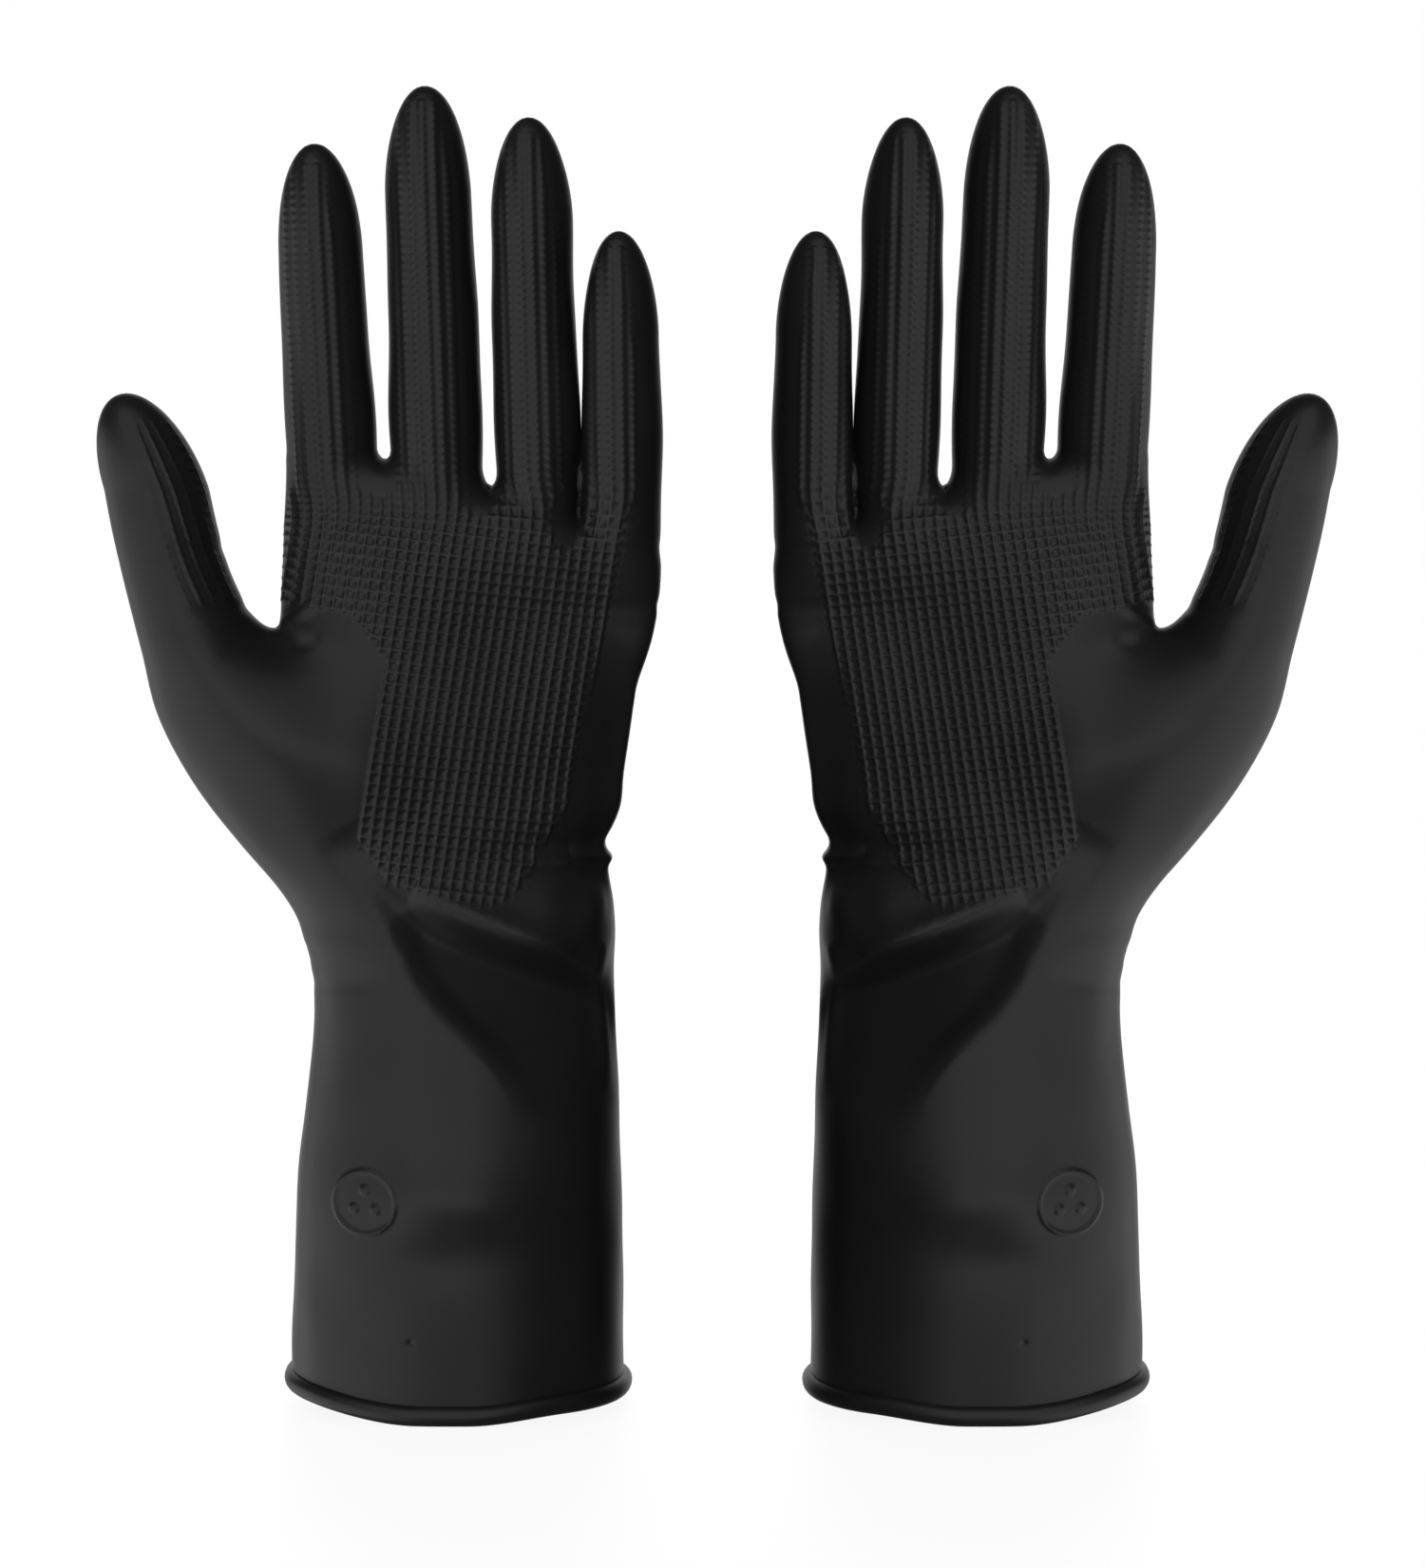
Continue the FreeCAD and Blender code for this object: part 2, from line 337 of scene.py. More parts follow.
def refine(points, quads, chosen, cuts):
    """Divides the chosen quads of a skin into smaller ones, and returns points and triangles."""
    mesh = bpy.data.meshes.new("refine")
    mesh.from_pydata(points.tolist(), [], quads.tolist())
    form = bmesh.new()
    form.from_mesh(mesh)
    form.faces.ensure_lookup_table()
    edges = {edge for i in np.flatnonzero(chosen) for edge in form.faces[i].edges}
    bmesh.ops.subdivide_edges(form, edges=list(edges), cuts=cuts, use_grid_fill=True)
    bmesh.ops.triangulate(form, faces=form.faces[:], quad_method="SHORT_EDGE")
    form.to_mesh(mesh)
    form.free()
    points = np.empty(len(mesh.vertices) * 3)
    mesh.vertices.foreach_get("co", points)
    faces = np.empty(len(mesh.polygons) * 3, int)
    mesh.polygons.foreach_get("vertices", faces)
    bpy.data.meshes.remove(mesh)
    return points.reshape(-1, 3), faces.reshape(-1, 3)


def net_on(grid, level):
    """An even net of quads on one level of the field."""
    count = np.ceil((GRID_HIGH - GRID_LOW) / grid).astype(int)
    x, y, z = (GRID_LOW[i] + grid * np.arange(count[i]) for i in range(3))
    field = glove_field((x[:, None, None], y[None, :, None], z[None, None, :])) - level
    points, quads = surface_net(field, GRID_LOW, grid)
    return relax(points, quads, 6, 0.55, 0.3), quads


# ---------------------------------------------------------------- relief of the skin

def line_at(cycles, pitch, width):
    """1 on evenly spaced lines, falling off to each side of them."""
    return np.exp(-(((cycles - np.round(cycles)) * pitch) / width) ** 2)


def stroke(x, z, start, end, width, height):
    """A soft ridge along a line, or a valley where height is below zero."""
    run = np.subtract(end, start)
    share = np.clip(((x - start[0]) * run[0] + (z - start[1]) * run[1]) / (run @ run), 0, 1)
    off = np.hypot(x - start[0] - share * run[0], z - start[1] - share * run[1])
    return height * (1 - (2 * share - 1) ** 4) * np.exp(-(off / width) ** 2)


def mound(x, z, centre, half_wide, half_tall, height):
    return height * np.exp(-((x - centre[0]) / half_wide) ** 2 - ((z - centre[1]) / half_tall) ** 2)


def depth_inside(x, z, outline):
    """Distance to a closed outline, above zero inside it."""
    near = np.full(x.shape, np.inf)
    inside = np.zeros(x.shape, bool)
    for (x0, z0), (x1, z1) in zip(outline, outline[1:] + outline[:1]):
        run_x, run_z = x1 - x0, z1 - z0
        share = ((x - x0) * run_x + (z - z0) * run_z) / (run_x ** 2 + run_z ** 2)
        share = np.clip(share, 0, 1)
        near = np.minimum(near, np.hypot(x - x0 - share * run_x, z - z0 - share * run_z))
        if z0 != z1:
            crossing = x0 + (z - z0) * run_x / run_z
            inside ^= ((z0 > z) != (z1 > z)) & (x < crossing)
    return np.where(inside, near, -near)


# Outline of the net on the palm, up to where the fingers' ridges take over
PALM_OUTLINE = [(-44.0, 186.5), (-38.3, 187.4), (-22.8, 184.8), (-15.2, 174.2), (-19.4, 147.9),
                (-21.6, 134.5), (-15.0, 124.6), (-5.7, 121.3), (10.6, 118.5), (16.7, 123.4),
                (20.1, 129.5), (26.8, 142.0), (32.4, 168.1), (40.8, 207.3), (44.0, 232.0),
                (-44.0, 232.0)]
COLUMN_PITCH = 2.5
COLUMN_SLANT = 0.16
COLUMN_FOOT = -39.8
ROW_PITCH = 2.55
ROW_SLANT = 0.12
RIDGE_PITCH = 2.7
RIB_PITCH = 1.85
FINGERS_TAKE_OVER = (203.0, 218.0)
WEBS = [(-16.6, 219.0), (6.4, 214.5), (26.4, 206.5)]
WEB_SIZE = (3.2, 6.0)
LINE_WIDTH = 0.46
RIDGES_MEET = 210.0
GRIP_TAPER = 3.0
GRIP_TAPER_RUN = 30.0
THUMB_RIDGE_PITCH = 3.1
THUMB_RIB_PITCH = 2.3
THUMB_RADIUS = 12.0
THUMB_GRIP_HEIGHTS = (186.5, 231.0)
THUMB_SIDE = -43.0


def finger_lines(x, z):
    """Of the nearest finger at each point: ridges counted across, and the depth in its grip."""
    best = np.full(x.shape, np.inf)
    cycles = np.zeros(x.shape)
    depth = np.zeros(x.shape)
    for name, finger in FINGERS.items():
        share = (z - FINGER_START) / (finger_top(name) - FINGER_START)
        side = x - finger["root_x"] - (finger["tip_x"] - finger["root_x"]) * share
        mine = np.abs(side) < best
        best = np.where(mine, np.abs(side), best)
        first, last = finger["grip_sides"]
        narrow = GRIP_TAPER * soft_step(finger["grip_top"] - GRIP_TAPER_RUN, finger["grip_top"], z)
        inside = np.minimum(side - first, last - narrow - side)
        inside = np.minimum(inside, finger["grip_top"] - z)
        phase = (side - finger["ridge"]) / RIDGE_PITCH
        foot = (finger["root_x"] + finger["ridge"] - COLUMN_SLANT * RIDGES_MEET
                - COLUMN_FOOT) / COLUMN_PITCH
        cycles = np.where(mine, phase + np.round(foot), cycles)
        depth = np.where(mine, inside, depth)
    return cycles, depth


def hand_grip(x, z):
    """Height of the raised net on palm and fingers, and the depth inside its outline."""
    take_over = soft_step(*FINGERS_TAKE_OVER, z)
    columns = (x - COLUMN_SLANT * z - COLUMN_FOOT) / COLUMN_PITCH
    ridges, finger_depth = finger_lines(x, z)
    across = columns + (ridges - columns) * take_over
    rise = np.logaddexp(0, (z - 212) / 4) * 4
    along = ((z + ROW_SLANT * x * (1 - take_over)) / ROW_PITCH
             + rise * (1 / RIB_PITCH - 1 / ROW_PITCH))
    palm_depth = depth_inside(x, z, PALM_OUTLINE)
    depth = palm_depth + (np.minimum(finger_depth, 9) - palm_depth) * soft_step(206, 216, z)
    for web_x, web_z in WEBS:
        from_web = np.hypot((x - web_x) / WEB_SIZE[0], (z - web_z) / WEB_SIZE[1]) - 1
        depth = np.minimum(depth, from_web * WEB_SIZE[0])
    lengthwise = line_at(across, COLUMN_PITCH, LINE_WIDTH + 0.3 * take_over)
    crosswise = line_at(along, ROW_PITCH + (RIB_PITCH - ROW_PITCH) * take_over, LINE_WIDTH)
    lines = np.maximum(lengthwise * (0.42 - 0.2 * take_over), crosswise * (0.44 - 0.4 * take_over))
    height = (lines * soft_step(0.0, 1.2, depth)
              + (0.14 + 0.02 * take_over) * lengthwise * crosswise * soft_step(-1.6, 0.0, depth))
    return height, depth


def thumb_grip(x, y, z):
    """Height of the ridges on the thumb's inner side, and the depth inside their outline."""
    left, right, front, back = smooth_columns(z, THUMB_OVALS)
    past = np.maximum(z - THUMB_OVALS[-1, 0], 0)
    side = x - (left + right) / 2 - THUMB_LEAN[0] * past
    ahead = (front + back) / 2 + THUMB_LEAN[1] * past - y
    round_it = THUMB_RADIUS * np.arctan2(side, ahead)
    first = -0.4 + 0.084 * (213 - z)
    low, high = THUMB_GRIP_HEIGHTS
    depth = np.minimum(round_it - first + 1.0, 17 - round_it)
    depth = np.minimum(depth, np.minimum(z - low, high - z))
    lengthwise = line_at((round_it - first) / THUMB_RIDGE_PITCH, THUMB_RIDGE_PITCH, LINE_WIDTH)
    crosswise = line_at((z + 0.2 * x) / THUMB_RIB_PITCH, THUMB_RIB_PITCH, LINE_WIDTH)
    strong = 0.12 + 0.16 * (1 - soft_step(6, 9, round_it))
    lines = np.maximum(lengthwise * strong, crosswise * 0.12 * soft_step(2, 5, round_it - first))
    height = (lines * soft_step(0.3, 4.0, depth)
              + 0.12 * lengthwise * crosswise * soft_step(-0.8, 2.0, depth))
    return height, depth


def grip(points, outward):
    """Height of the whole grip, and 1 where the skin has to be fine enough to carry it."""
    x, y, z = points.T
    height, depth = hand_grip(x, z)
    thumb_height, thumb_depth = thumb_grip(x, y, z)
    on_thumb = (x < THUMB_SIDE) & (z > THUMB_GRIP_HEIGHTS[0] - 3)
    height = np.where(on_thumb, thumb_height, height)
    depth = np.where(on_thumb, thumb_depth, depth)
    ahead = -outward[:, 1] - 0.3 * soft_step(*FINGERS_TAKE_OVER, z)
    facing = np.where(on_thumb, 1.0, soft_step(0.05, 0.4, ahead))
    return height * facing, (depth > -1.6) & (facing > 0.02)


# The crease from which the sleeve's front has sunk back, from below up: height, then side
FOLD_LINE = np.array([(75.0, 12.5), (85.0, 5.0), (97.7, -8.0), (120.0, -19.5), (137.0, -24.0)])
SUNKEN = 0.75            # how much of the way the front sinks back to the flat chord
SUNKEN_HEIGHTS = (66.0, 94.0)
SUNKEN_START = (-2.0, 10.0)
HEEL_HEIGHT = 118.5
HEEL_SLANT = 0.43
HEEL_BAND = (-11.0, 2.0)
# The palm falls away towards the little finger
PALM_FALL = 7.5
PALM_SIDES = (-24.0, 22.0)
PALM_HEIGHTS = (108.0, 130.0, 180.0, 205.0)
PALM_DEPTH = (0.0, 15.0)
# The moulded ring with three pips, and the pit
RING_CENTRE = (-19.8, 51.2)
RING_RADIUS = 7.2
PIP_CIRCLE = 2.9
PIT_CENTRE = (-9.4, 19.2)
PIT_RADIUS = 0.7


def folds(points, outward):
    """Height of the soft folds and creases that the film keeps from being worn and packed."""
    x, _, z = points.T
    front = soft_step(0.05, 0.55, -outward[:, 1])
    right = soft_step(-0.1, 0.5, outward[:, 0])
    left = soft_step(-0.1, 0.5, -outward[:, 0])
    on_front = (
        stroke(x, z, (-9, 122.5), (28, 107), 3.6, 1.6)
        + stroke(x, z, (-25, 137), (-12, 117), 5.0, -0.8)
        + mound(x, z, (1.0, 51.0), 17, 8.5, 2.0)
        + mound(x, z, (-3, 39.5), 11, 6, -0.6)
        + mound(x, z, (31.5, 118.5), 3.4, 5.5, 1.6)
        + mound(x, z, (24, 120), 5, 5, 0.5)
        + stroke(x, z, (26, 128.8), (37, 126.6), 0.9, -1.1)
        + stroke(x, z, (27, 131.0), (37, 129.4), 2.0, 0.7)
        + stroke(x, z, (34.6, 110), (32.6, 100), 1.8, 0.8)
        + stroke(x, z, (32.6, 101), (36.2, 74), 1.8, 0.8)
        + stroke(x, z, (-43, 181), (-31, 188), 1.5, 0.7)
        + stroke(x, z, (-37, 178), (-30, 180), 1.6, -0.4))
    height = on_front * front
    around_right = (
        1.0 * np.exp(-((z - 140) / 5.5) ** 2) - 0.7 * np.exp(-((z - 132.0) / 2.4) ** 2)
        + 1.2 * np.exp(-((z - 128.1) / 1.6) ** 2) + 0.6 * np.exp(-((z - 117) / 6) ** 2)
        + 0.7 * np.exp(-((z - 110) / 6) ** 2)
        - 0.3 * np.exp(-((z - 187) / 1.6) ** 2) - 0.25 * np.exp(-((z - 200.5) / 1.8) ** 2))
    height += around_right * right
    around_left = (
        0.9 * np.exp(-((z - 109) / 4) ** 2)
        + 0.15 * np.exp(-((z - 112.5 - 0.3 * x) / 2.0) ** 2)
        - 0.2 * np.exp(-((z - 106 - 0.2 * x) / 2.2) ** 2))
    return height + around_left * left * (1 - soft_step(-24, -12, x))


def sunken(points):
    """How far the front has sunk back: a flat below the heel of the hand, and the palm's fall."""
    x, y, z = points.T
    left, right, front, _ = smooth_columns(z, HAND_OVALS)
    start, = smooth_columns(z, FOLD_LINE)
    off = np.clip(2 * np.abs(start - (left + right) / 2) / (right - left), 0, 0.99)
    edge = front * (1 - off ** HAND_SQUARENESS) ** (1 / HAND_SQUARENESS)
    flat = edge * (1 - np.clip((x - start) / (right - start), 0, 1))
    above_heel = z - HEEL_HEIGHT + HEEL_SLANT * x
    share = SUNKEN * soft_step(*SUNKEN_HEIGHTS, z) * (1 - soft_step(*HEEL_BAND, above_heel))
    rise, full, fall, gone = PALM_HEIGHTS
    palm = PALM_FALL * soft_step(rise, full, z) * (1 - soft_step(fall, gone, z))
    return (np.maximum(flat - y, 0) * share * soft_step(*SUNKEN_START, x - start)
            + palm * soft_step(*PALM_SIDES, x) * soft_step(*PALM_DEPTH, -y))


RIM_LIFTS = (3.5, 1.7)   # at the thumb side and at the other side
RIM_FADE = (4.0, 50.0)


def rim_lift(x, z):
    """How far the rim stands up at its two sides, fading out up the sleeve."""
    lift = RIM_LIFTS[0] * soft_step(8, 42, -x) + RIM_LIFTS[1] * soft_step(4, 26, x)
    return lift * (1 - soft_step(*RIM_FADE, z))


def settle(points, height, outward):
    """The skin moved by its relief, sunk at the wrist and lifted at the rim."""
    depth = sunken(points)
    points = points + height[:, None] * outward
    points[:, 1] += depth
    points[:, 2] += rim_lift(points[:, 0], points[:, 2])
    return points


def mark(points, outward):
    """Height of the moulded ring with three pips, and of the small pit left by the former."""
    x, _, z = points.T
    front = soft_step(0.1, 0.4, -outward[:, 1])
    off_x, off_z = x - RING_CENTRE[0], z - RING_CENTRE[1]
    out = np.hypot(off_x, off_z)
    height = 0.42 * np.exp(-((out - RING_RADIUS) / 0.5) ** 2)
    for turn in (90, 210, 330):
        pip_x = PIP_CIRCLE * math.cos(math.radians(turn))
        pip_z = PIP_CIRCLE * math.sin(math.radians(turn))
        away = np.hypot(off_x - pip_x, off_z - pip_z)
        height += 0.4 * (1 - soft_step(0.7, 1.5, away))
    height -= mound(x, z, PIT_CENTRE, PIT_RADIUS, PIT_RADIUS, 0.5)
    near_pit = np.hypot(x - PIT_CENTRE[0], z - PIT_CENTRE[1]) < 2.5
    return height * front, ((out < RING_RADIUS + 2) | near_pit) & (front > 0.02)


def unevenness(points):
    """A faint waviness, as dipped film has."""
    rng = np.random.default_rng(11)
    height = np.zeros(len(points))
    for _ in range(14):
        way = rng.normal(size=3)
        way *= 2 * math.pi / rng.uniform(14, 42) / np.linalg.norm(way)
        height += rng.uniform(0.4, 1.0) * np.sin(points @ way + rng.uniform(0, 2 * math.pi))
    return 0.05 * height


def glove_skin():
    """The left glove's outer skin: points, triangles, normals, and how raised each point is."""
    points, quads = net_on(GRID, 0.0)
    points, outward = onto_skin(points)
    centres = points[quads].mean(axis=1)
    facing = outward[quads].mean(axis=1)
    creased = (centres[:, 0] > 24) & (np.abs(centres[:, 2] - 125) < 8) & (centres[:, 1] < 6)
    chosen = grip(centres, facing)[1] | mark(centres, facing)[1] | creased
    points, faces = refine(points, quads, chosen, 2)
    points, outward = onto_skin(points)
    raised = grip(points, outward)[0]
    height = folds(points, outward) + mark(points, outward)[0] + unevenness(points) + raised
    points = settle(points, height, outward)
    return points, faces, vertex_normals(points, faces), raised / raised.max()


def lining_skin():
    """The left glove's inner skin, one wall in from the outer one, facing inwards."""
    points, quads = net_on(LINING_GRID, -WALL)
    points, outward = onto_skin(points, level=-WALL)
    points = settle(points, folds(points, outward) + unevenness(points), outward)
    faces = triangles(quads)[:, ::-1]
    return points, faces, vertex_normals(points, faces), np.zeros(len(points))


# ---------------------------------------------------------------- pieces of the skin

HINGES = {joint["name"]: np.array(joint["pos_m"]) / MM
          for joint in frame["joints"] if joint["name"].startswith("left_")}


def hinge(name):
    """A left-hand hinge point, in mm from the middle of its cuff."""
    return HINGES["left_" + name] - np.array([CUFF_X, 0, 0])


def finger_zones(points):
    """Which finger each point is nearest to, side to side."""
    gaps = []
    for name in FINGERS:
        root, tip = hinge(name + "_root_bend"), hinge(name + "_tip_bend")
        lean = (tip[0] - root[0]) / (tip[2] - root[2])
        gaps.append(np.abs(points[:, 0] - root[0] - lean * (points[:, 2] - root[2])))
    return np.argmin(gaps, axis=0)


WRIST_REACH = 20.0
SLEEVE_TOP = 117.0
ROOT_MARGIN = 10.5
BAND_MARGIN = 0.5
THUMB_REACH = 19.0


def bands():
    """Each piece: its two bodies, where it starts and stops to bend, and the body it replaces."""
    up = np.array([0.0, 0.0, 1.0])
    wrist = hinge("wrist_bend")
    wrist_span = (wrist - WRIST_REACH * up, wrist + WRIST_REACH * up)
    result = {"sleeve": ("cuff", "hand", *wrist_span, "cuff"),
              "palm_and_back": ("cuff", "hand", *wrist_span, "hand")}
    for name in FINGERS:
        root, mid, tip = (hinge(name + "_" + level + "_bend") for level in ("root", "mid", "tip"))
        first, second = (root[2] + mid[2]) / 2, (mid[2] + tip[2]) / 2
        low_reach = first - BAND_MARGIN - root[2]
        reach = min(mid[2] - first, second - mid[2]) - BAND_MARGIN
        tip_reach = tip[2] - second - BAND_MARGIN
        result[name + "_lower"] = ("hand", name + "_base", root - (ROOT_MARGIN - 1) * up,
                                   root + low_reach * up, name + "_base")
        result[name + "_middle"] = (name + "_base", name + "_mid", mid - reach * up,
                                    mid + reach * up, name + "_mid")
        result[name + "_end"] = (name + "_mid", name + "_tip", tip - tip_reach * up,
                                 tip + tip_reach * up, name + "_tip")
    root, tip = hinge("thumb_root_bend"), hinge("thumb_tip_bend")
    along = (tip - root) / np.linalg.norm(tip - root)
    half = np.linalg.norm(tip - root) / 2 - BAND_MARGIN
    result["thumb_lower"] = ("hand", "thumb_base", root - 9 * along, root + half * along,
                             "thumb_base")
    result["thumb_end"] = ("thumb_base", "thumb_tip", tip - half * along, tip + half * along,
                           "thumb_tip")
    return result


def piece_numbers(points, faces, names):
    """The number of the piece that each triangle belongs to."""
    centres = points[faces].mean(axis=1)
    number = np.where(centres[:, 2] < SLEEVE_TOP, names.index("sleeve"),
                      names.index("palm_and_back"))
    nearest = finger_zones(centres)
    on_finger = centres[:, 0] > THUMB_SIDE
    for k, name in enumerate(FINGERS):
        root, mid, tip = (hinge(name + "_" + level + "_bend") for level in ("root", "mid", "tip"))
        mine = on_finger & (nearest == k)
        number[mine & (centres[:, 2] > root[2] - ROOT_MARGIN)] = names.index(name + "_lower")
        number[mine & (centres[:, 2] > (root[2] + mid[2]) / 2)] = names.index(name + "_middle")
        number[mine & (centres[:, 2] > (mid[2] + tip[2]) / 2)] = names.index(name + "_end")
    root, tip = hinge("thumb_root_bend"), hinge("thumb_tip_bend")
    along = (tip - root) / np.linalg.norm(tip - root)
    share = (centres - root) @ along
    off = np.linalg.norm(centres - root - share[:, None] * along, axis=1)
    mine = (off < THUMB_REACH) & (centres[:, 0] < THUMB_SIDE)
    number[mine & (share > -10)] = names.index("thumb_lower")
    number[mine & ((centres - (root + tip) / 2) @ along > 0)] = names.index("thumb_end")
    return number


def place(points, side):
    """Left-hand millimetres to metres in the frame. The right glove is the mirror image."""
    world = (points + np.array([CUFF_X, 0, 0])) * MM
    return world * np.array([1 if side == "left" else -1, 1, 1])


def make_piece(name, side, points, faces, normals, raised, material):
    """One mesh piece with the normals of the whole skin, so that no seam shows."""
    used, local = np.unique(faces, return_inverse=True)
    local = local.reshape(faces.shape)
    turned = normals[used].copy()
    if side == "right":
        local = local[:, ::-1]
        turned[:, 0] *= -1
    mesh = bpy.data.meshes.new(side + "_" + name)
    mesh.from_pydata(place(points[used], side).tolist(), [], local.tolist())
    mesh.polygons.foreach_set("use_smooth", np.ones(len(local), bool))
    mesh.normals_split_custom_set_from_vertices(turned.tolist())
    mesh.attributes.new("raised", "FLOAT", "POINT").data.foreach_set("value", raised[used])
    mesh.materials.append(material)
    piece = bpy.data.objects.new(side + "_" + name, mesh)
    bpy.context.scene.collection.objects.link(piece)
    return piece


def make_layer(side, skin, material, ending, carries):
    """One skin of a glove, cut into its pieces; with carries, the frame's parts that each piece
    replaces are hidden.
    """
    points, faces, normals, raised = skin
    plan = bands()
    names = list(plan)
    number = piece_numbers(points, faces, names)
    for i, name in enumerate(names):
        first, second, start, stop, body = plan[name]
        piece = make_piece(name + ending, side, points, faces[number == i], normals, raised,
                           material)
        start, stop = place(np.array([start, stop]), side)
        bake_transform(piece)
        if carries:
            nodes = [node for node in BODY_NODES[side + "_" + body]
                     if not node.endswith("cuff_bead")]
            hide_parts(*nodes)


# ---------------------------------------------------------------- materials

GRAIN_SCALE = 1500.0
CLOUD_SCALE = 32.0
BLACK = (0.0150, 0.0150, 0.0154, 1)
BLACK_CLOUDED = (0.0200, 0.0200, 0.0204, 1)
DUST = (0.06, 0.06, 0.058, 1)
# Painted highlight: a paler colour for the raised crests of the grip, in place of the gloss they
# catch
CREST_HIGHLIGHT = (0.042, 0.042, 0.0415, 1)
GLOSS_SPREAD = 0.035


def add_node(tree, kind, **values):
    node = tree.nodes.new(kind)
    for name, value in values.items():
        node.inputs[name].default_value = value
    return node


def noise(tree, scale, detail, roughness=0.5):
    """Noise by place on the glove, in metres."""
    node = add_node(tree, "ShaderNodeTexNoise", Scale=scale, Detail=detail, Roughness=roughness)
    place_node = tree.nodes.new("ShaderNodeTexCoord")
    tree.links.new(place_node.outputs["Object"], node.inputs["Vector"])
    return node.outputs["Fac"]


def spread_between(tree, value, low, high, first=0.3, last=0.7):
    """A noise value stretched to run from low to high."""
    node = add_node(tree, "ShaderNodeMapRange")
    node.inputs["From Min"].default_value = first
    node.inputs["From Max"].default_value = last
    node.inputs["To Min"].default_value = low
    node.inputs["To Max"].default_value = high
    tree.links.new(value, node.inputs["Value"])
    return node.outputs["Result"]


def rubber(name, dull, sheer):
    """Satin black latex: cloudy gloss, fine grain, a trace of dust, and a painted highlight, the
    raised crests coloured paler.
    """
    material = bpy.data.materials.new(name)
    material.use_nodes = True
    tree = material.node_tree
    shader = tree.nodes["Principled BSDF"]
    shader.inputs["IOR"].default_value = 1.5
    cloud = noise(tree, CLOUD_SCALE, 5.0)
    grain = noise(tree, GRAIN_SCALE, 3.0)
    dust = noise(tree, GRAIN_SCALE / 3, 6.0, 0.75)
    tint = tree.nodes.new("ShaderNodeValToRGB")
    tint.color_ramp.elements[0].position = 0.35
    tint.color_ramp.elements[0].color = BLACK
    tint.color_ramp.elements[1].position = 0.68
    tint.color_ramp.elements[1].color = BLACK_CLOUDED
    tree.links.new(cloud, tint.inputs["Fac"])
    dusty = tree.nodes.new("ShaderNodeMix")
    dusty.data_type = "RGBA"
    dusty.inputs["B"].default_value = DUST
    tree.links.new(tint.outputs["Color"], dusty.inputs["A"])
    tree.links.new(spread_between(tree, dust, 0.0, 0.35, 0.69, 0.8), dusty.inputs["Factor"])
    # Painted highlight: the raised crests of the grip are coloured paler, by the height stored in
    # raised
    painted_highlight = tree.nodes.new("ShaderNodeMix")
    painted_highlight.data_type = "RGBA"
    painted_highlight.inputs["B"].default_value = CREST_HIGHLIGHT
    crest = tree.nodes.new("ShaderNodeAttribute")
    crest.attribute_name = "raised"
    tree.links.new(dusty.outputs["Result"], painted_highlight.inputs["A"])
    tree.links.new(spread_between(tree, crest.outputs["Fac"], 0.0, 1.0, 0.35, 1.0),
                   painted_highlight.inputs["Factor"])
    tree.links.new(painted_highlight.outputs["Result"], shader.inputs["Base Color"])
    tree.links.new(spread_between(tree, cloud, dull - GLOSS_SPREAD, dull + GLOSS_SPREAD),
                   shader.inputs["Roughness"])
    bump = add_node(tree, "ShaderNodeBump", Strength=sheer, Distance=0.00004)
    tree.links.new(grain, bump.inputs["Height"])
    tree.links.new(bump.outputs["Normal"], shader.inputs["Normal"])
    return material


def pale_floor():
    material = bpy.data.materials.new("pale_floor")
    material.use_nodes = True
    shader = material.node_tree.nodes["Principled BSDF"]
    shader.inputs["Base Color"].default_value = (0.86, 0.86, 0.86, 1)
    shader.inputs["Roughness"].default_value = 0.6
    shader.inputs["IOR"].default_value = 1.5
    return material


# ---------------------------------------------------------------- the bead

BEAD_ROUNDS = 360
BEAD_TURNS = 24
BEAD_SWELL = 1.04


def make_bead(side, material):
    """The rolled rim, a round cord of film round the foot of the cuff."""
    low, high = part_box(side + "_cuff_bead")
    radius = (high[2] - low[2]) / 2 / MM
    left, right, front, back = smooth_columns(np.array(radius), HAND_OVALS)
    angle = np.linspace(0, 2 * math.pi, BEAD_ROUNDS, endpoint=False)
    power = 2 / HAND_SQUARENESS
    across = np.sign(np.cos(angle)) * np.abs(np.cos(angle)) ** power
    deep = np.sign(np.sin(angle)) * np.abs(np.sin(angle)) ** power
    path = np.stack([(left + right) / 2 + (right - left - WALL) / 2 * across,
                     (back - front - WALL) / 2 * deep, np.full(BEAD_ROUNDS, radius)], axis=1)
    forward = np.roll(path, -1, axis=0) - np.roll(path, 1, axis=0)
    outward = np.stack([forward[:, 1], -forward[:, 0], np.zeros(BEAD_ROUNDS)], axis=1)
    outward /= np.linalg.norm(outward, axis=1)[:, None]
    swell = BEAD_SWELL + 0.02 * np.sin(5 * angle + 1) + 0.015 * np.sin(13 * angle)
    points = []
    for turn in np.linspace(0, 2 * math.pi, BEAD_TURNS, endpoint=False):
        points.append(path + (radius * swell * math.cos(turn))[:, None] * outward
                      + np.array([0, 0, radius * math.sin(turn)]))
    points = np.stack(points, axis=1).reshape(-1, 3)
    points[:, 2] += rim_lift(points[:, 0], np.zeros(len(points)))
    i = np.arange(BEAD_ROUNDS)[:, None]
    k = np.arange(BEAD_TURNS)[None, :]
    after_i, after_k = (i + 1) % BEAD_ROUNDS, (k + 1) % BEAD_TURNS
    quads = np.stack([i * BEAD_TURNS + k, after_i * BEAD_TURNS + k,
                      after_i * BEAD_TURNS + after_k, i * BEAD_TURNS + after_k], axis=2)
    faces = triangles(quads.reshape(-1, 4))
    bead = make_piece("rolled_bead", side, points, faces, vertex_normals(points, faces),
                      np.zeros(len(points)), material)
    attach(bead, side + "_cuff")
    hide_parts(side + "_cuff_bead")


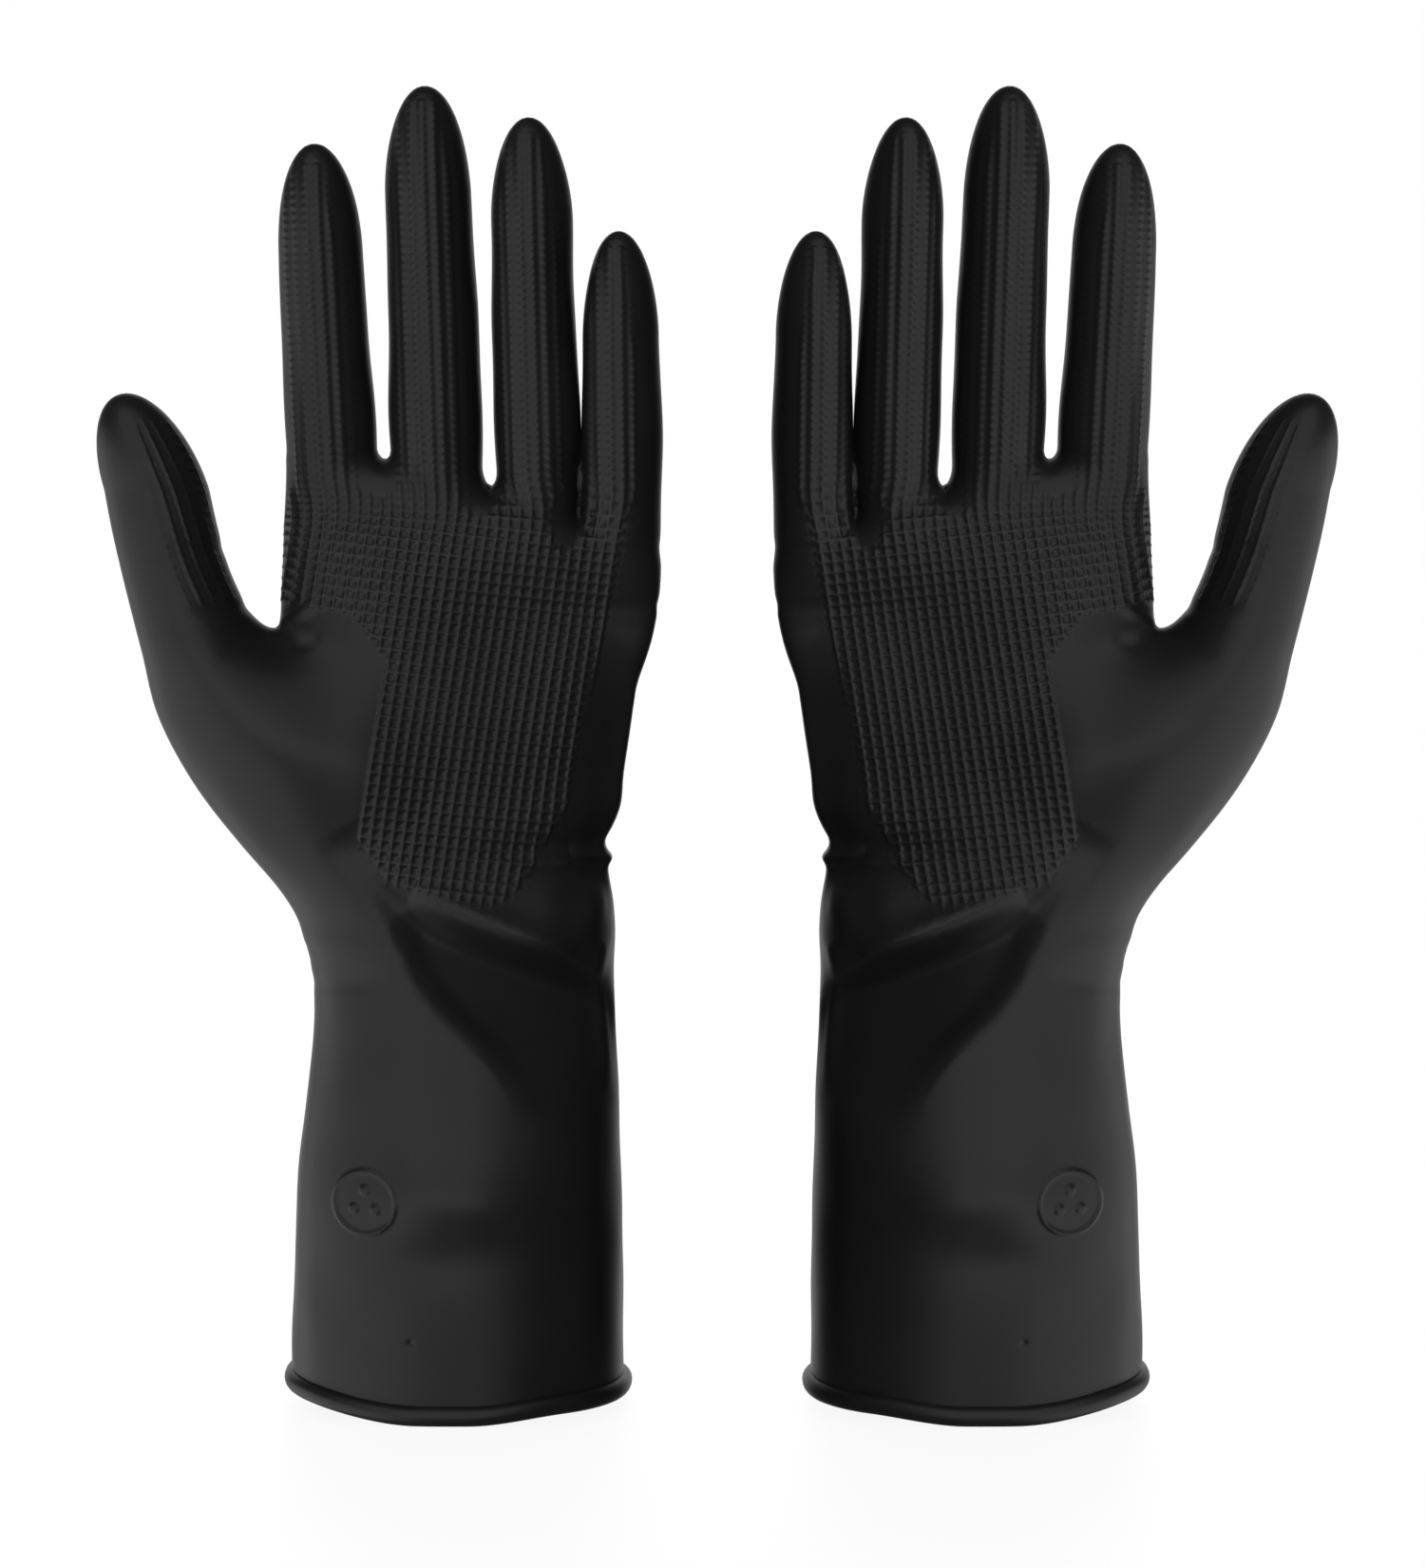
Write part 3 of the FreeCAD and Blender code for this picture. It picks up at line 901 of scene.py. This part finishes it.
# ---------------------------------------------------------------- studio

VIEW_DISTANCE = 1.10
VIEW_HEIGHT = 0.244
VIEW_CENTRE = (-0.0011, 0.0, 0.1452)
VIEW_TALL = 0.3656
FLOOR_SIDE = 12.0
LIGHT_DISTANCE = 2.4


def make_camera():
    data = bpy.data.cameras.new("camera")
    camera = bpy.data.objects.new("camera", data)
    bpy.context.scene.collection.objects.link(camera)
    tilt = math.atan2(VIEW_HEIGHT - VIEW_CENTRE[2], VIEW_DISTANCE)
    camera.location = (VIEW_CENTRE[0], -VIEW_DISTANCE, VIEW_HEIGHT)
    camera.rotation_euler = (math.pi / 2 - tilt, 0, 0)
    reach = math.hypot(VIEW_DISTANCE, VIEW_HEIGHT - VIEW_CENTRE[2])
    data.sensor_width = 36
    data.lens = data.sensor_width * reach / VIEW_TALL
    data.clip_start, data.clip_end = 0.01, 50
    bpy.context.scene.camera = camera


def add_light(name, kind, location, target, lit):
    """A light that shines on the objects in lit alone."""
    light = bpy.data.objects.new(name, bpy.data.lights.new(name, kind))
    bpy.context.scene.collection.objects.link(light)
    light.location = location
    way = Vector(target) - Vector(location)
    light.rotation_euler = way.to_track_quat("-Z", "Y").to_euler()
    light.light_linking.receiver_collection = lit
    return light


def softbox(name, turn, rise, width, height, radiance, middle, lit, cast):
    """A rectangle of light, placed and sized by the angles at which the glove sees it."""
    turn, rise = math.radians(turn), math.radians(rise)
    way = Vector((math.sin(turn) * math.cos(rise), -math.cos(turn) * math.cos(rise),
                  math.sin(rise)))
    light = add_light(name, "AREA", Vector(middle) + LIGHT_DISTANCE * way, middle, lit)
    light.data.shape = "RECTANGLE"
    light.data.size = 2 * LIGHT_DISTANCE * math.tan(math.radians(width / 2))
    light.data.size_y = 2 * LIGHT_DISTANCE * math.tan(math.radians(height / 2))
    light.data.energy = radiance * math.pi * light.data.size * light.data.size_y
    light.light_linking.blocker_collection = cast


def group(name, objects):
    collection = bpy.data.collections.new(name)
    for thing in objects:
        collection.objects.link(thing)
    return collection


def make_floor():
    mesh = bpy.data.meshes.new("floor")
    half = FLOOR_SIDE / 2
    mesh.from_pydata([(-half, -half, 0), (half, -half, 0), (half, half, 0), (-half, half, 0)], [],
                     [(0, 1, 2, 3)])
    mesh.materials.append(pale_floor())
    floor = bpy.data.objects.new("floor", mesh)
    bpy.context.scene.collection.objects.link(floor)
    floor.visible_glossy = False
    floor.visible_diffuse = False
    return floor


def make_world():
    """A white room to look at. The gloves mirror only its bright back wall, low behind them."""
    world = bpy.data.worlds.new("studio")
    bpy.context.scene.world = world
    world.use_nodes = True
    tree = world.node_tree
    room = tree.nodes["Background"]
    room.inputs["Color"].default_value = (1, 1, 1, 1)
    mirrored = tree.nodes.new("ShaderNodeBackground")
    mirrored.inputs["Color"].default_value = (1, 1, 1, 1)
    way = tree.nodes.new("ShaderNodeSeparateXYZ")
    tree.links.new(tree.nodes.new("ShaderNodeTexCoord").outputs["Generated"], way.inputs[0])
    tree.links.new(spread_between(tree, way.outputs["Y"], 0.06, 0.95, 0.7, 0.97),
                   mirrored.inputs["Strength"])
    mix = tree.nodes.new("ShaderNodeMixShader")
    tree.links.new(tree.nodes.new("ShaderNodeLightPath").outputs["Is Camera Ray"], mix.inputs[0])
    tree.links.new(mirrored.outputs[0], mix.inputs[1])
    tree.links.new(room.outputs[0], mix.inputs[2])
    tree.links.new(mix.outputs[0], tree.nodes["World Output"].inputs["Surface"])


def make_studio():
    floor = make_floor()
    make_world()
    overhead = add_light("overhead", "SUN", (0.0, -0.3, 3.0), (0, 0, 0), group("ground", [floor]))
    overhead.data.energy = 3.6
    overhead.data.angle = math.radians(75)
    overhead.light_linking.blocker_collection = group("shade", [floor])
    gloves = {side: [thing for thing in bpy.data.objects
                     if thing.name.startswith(side + "_") and thing.type == "MESH"]
              for side in ("left", "right")}
    cast = group("gloves", gloves["left"] + gloves["right"])
    for side, sign in (("left", 1), ("right", -1)):
        lit = group(side + "_glove", gloves[side])
        middle = (-sign * 0.061, 0.0, 0.16)
        softbox(side + "_front", sign * -7, 0, 47, 25, 0.87, middle, lit, cast)
        softbox(side + "_flank", sign * -82, -27, 104, 66, 0.8, middle, lit, cast)
        softbox(side + "_top", sign * -15, 42, 60, 54, 0.6, middle, lit, cast)
    bpy.context.scene.view_settings.view_transform = "Standard"


skin = glove_skin()
lining = lining_skin()
film = rubber("black_rubber", 0.40, 0.35)
inside = rubber("black_rubber_inside", 0.55, 0.6)
for side in ("left", "right"):
    make_layer(side, skin, film, "", True)
    make_layer(side, lining, inside, "_lining", False)
    make_bead(side, film)
make_camera()
make_studio()
